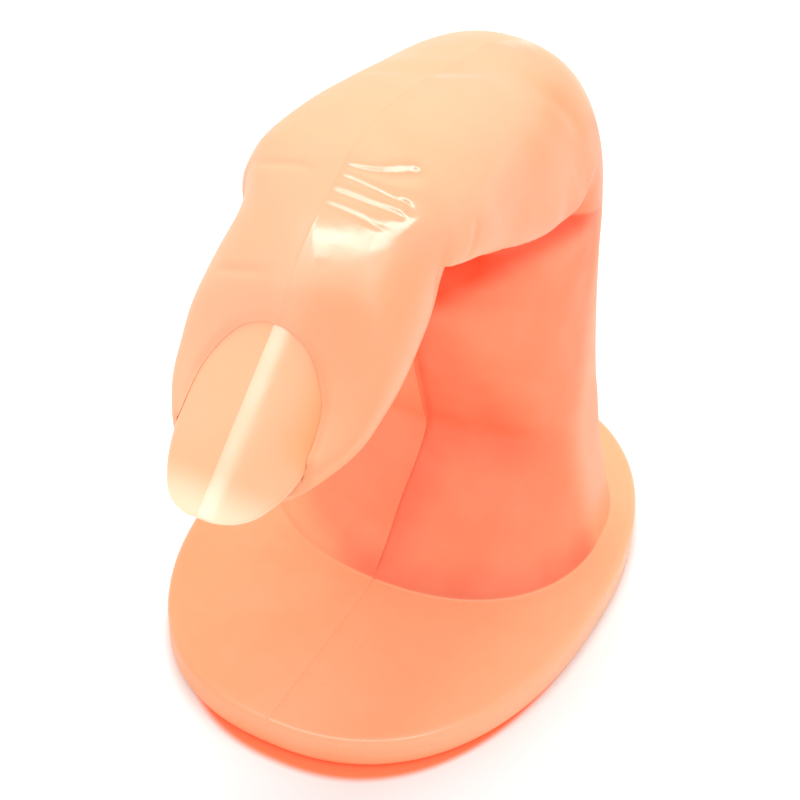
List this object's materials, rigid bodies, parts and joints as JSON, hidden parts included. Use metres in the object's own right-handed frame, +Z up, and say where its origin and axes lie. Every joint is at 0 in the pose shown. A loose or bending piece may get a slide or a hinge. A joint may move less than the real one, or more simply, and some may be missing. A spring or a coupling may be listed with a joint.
{
  "type": "nail practice finger",
  "caption": "Bent plastic finger on an oval foot, moulded as two half shells, with a slide-in nail tip for practising manicure.",
  "frame": {"origin": "centre of the part's bounding box, on the underside of the oval foot that it stands on", "axes": "+Z up from the foot; the finger points along -Y, so the nail faces -Y and up; X is across the finger, and the seam between the two halves is on the plane x = 0"},
  "size_m": [0.04, 0.0632, 0.056],
  "materials": {
    "flesh_plastic": "smooth moulded, half gloss, slightly translucent",
    "nail_plastic": "glossy, milky, slightly translucent"
  },
  "bodies": {
    "finger": {"left_half_shell": "flesh_plastic", "right_half_shell": "flesh_plastic"},
    "nail": {"nail_tip": "nail_plastic"}
  },
  "joints": [
    {"name": "nail_pull_out", "type": "slide", "parent": "finger", "child": "nail", "axis": [0, -0.7615, -0.6481], "range_m": [0, 0.022]}
  ]
}
